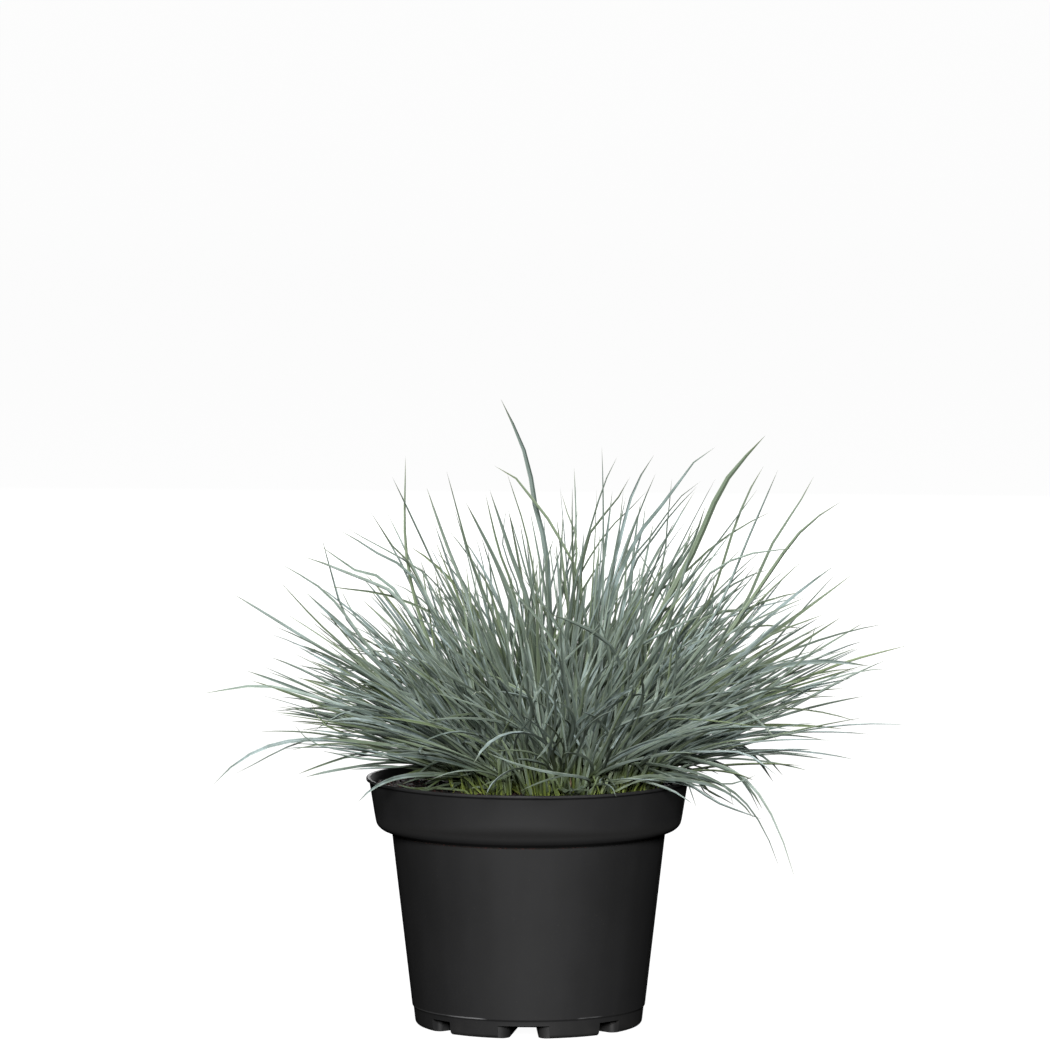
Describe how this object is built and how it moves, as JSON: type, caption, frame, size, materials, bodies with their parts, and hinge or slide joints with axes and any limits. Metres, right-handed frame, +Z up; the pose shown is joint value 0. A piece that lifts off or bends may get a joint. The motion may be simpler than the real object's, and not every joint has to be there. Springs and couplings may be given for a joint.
{
  "type": "potted blue fescue clump",
  "caption": "Clump of blue fescue grass, silvery blue-green blades fanning from a dense crown, in a round black plastic nursery pot full of peat soil.",
  "frame": {"origin": "centre of the pot's foot, on the plane that the pot stands on", "axes": "+Z up along the pot's axis; -Y towards the viewer, where the foot's front drainage notch is; +X to the viewer's right, the side to which the clump sits a little off centre"},
  "size_m": [0.337, 0.3349, 0.2891],
  "materials": {
    "black_plastic": "satin",
    "peat": "matte",
    "blue_leaf": "matte",
    "silver_leaf": "matte"
  },
  "bodies": {
    "root": {"nursery_pot": "black_plastic", "potting_soil": "peat", "tiller_01": "blue_leaf", "tiller_02": "blue_leaf", "tiller_03": "blue_leaf", "tiller_04": "blue_leaf", "tiller_05": "blue_leaf", "tiller_06": "blue_leaf", "tiller_07": "blue_leaf", "tiller_08": "blue_leaf", "tiller_09": "blue_leaf", "tiller_10": "blue_leaf", "tiller_11": "blue_leaf", "tiller_12": "blue_leaf", "tiller_13": "blue_leaf", "tiller_14": "blue_leaf", "tiller_15": "blue_leaf", "tiller_16": "blue_leaf", "tiller_17": "blue_leaf", "tiller_18": "blue_leaf", "tiller_19": "blue_leaf", "tiller_20": "blue_leaf", "tiller_21": "blue_leaf", "tiller_22": "blue_leaf", "tiller_23": "blue_leaf", "tiller_24": "blue_leaf", "tiller_25": "blue_leaf", "tiller_26": "blue_leaf", "tiller_27": "blue_leaf", "tiller_28": "blue_leaf", "tiller_29": "blue_leaf", "tiller_30": "blue_leaf", "tiller_31": "blue_leaf", "tiller_32": "blue_leaf", "tiller_33": "blue_leaf", "tiller_34": "blue_leaf", "tiller_35": "blue_leaf", "tiller_36": "blue_leaf", "tiller_37": "blue_leaf", "tiller_38": "blue_leaf", "tiller_39": "blue_leaf", "tiller_40": "blue_leaf", "tiller_41": "blue_leaf", "tiller_42": "blue_leaf", "tiller_43": "blue_leaf", "tiller_44": "blue_leaf", "tiller_45": "blue_leaf", "tiller_46": "blue_leaf", "tiller_47": "blue_leaf", "tiller_48": "blue_leaf", "arching_blade_01": "silver_leaf", "arching_blade_02": "silver_leaf", "arching_blade_03": "silver_leaf", "arching_blade_04": "silver_leaf", "arching_blade_05": "silver_leaf", "arching_blade_06": "silver_leaf", "arching_blade_07": "silver_leaf", "arching_blade_08": "silver_leaf", "arching_blade_09": "silver_leaf", "arching_blade_10": "silver_leaf"}
  },
  "joints": []
}
